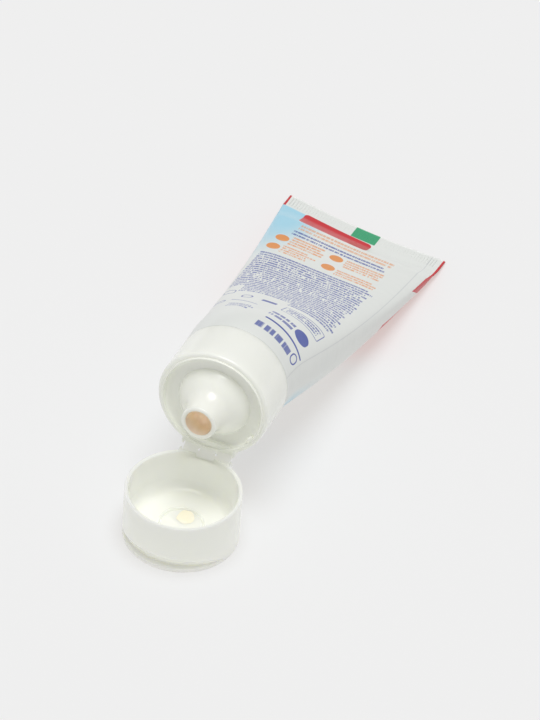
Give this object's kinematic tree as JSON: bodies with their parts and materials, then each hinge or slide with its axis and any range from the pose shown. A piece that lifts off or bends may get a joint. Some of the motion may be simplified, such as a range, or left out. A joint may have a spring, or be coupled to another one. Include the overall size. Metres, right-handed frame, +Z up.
{
  "type": "squeeze tube with flip-top cap",
  "caption": "Laminate squeeze tube with a crimped tail, lying on its side, its hinged flip-top lid open and standing on its closed end.",
  "frame": {"origin": "middle of the bounding box's base, on the surface the tube lies on", "axes": "+Z up, +Y from the nozzle towards the crimped tail, +X across the tube"},
  "size_m": [0.054, 0.1656, 0.0526],
  "materials": {
    "laminate": "satin",
    "shoulder": "matte",
    "paste": "wet",
    "cap": "glossy"
  },
  "bodies": {
    "tube": {"tube_sleeve": "laminate", "tube_shoulder": "shoulder", "paste": "paste", "cap_base": "cap"},
    "link": {"hinge_link": "cap"},
    "lid": {"lid": "cap"}
  },
  "joints": [
    {"name": "link_hinge", "type": "hinge", "parent": "tube", "child": "link", "pos_m": [0, -0.04546, 0.01823], "axis": [1, 0, 0], "range_deg": [-48, 30]},
    {"name": "lid_hinge", "type": "hinge", "parent": "link", "child": "lid", "pos_m": [0, -0.04843, 0.01555], "axis": [1, 0, 0], "range_deg": [-48, 30]}
  ]
}
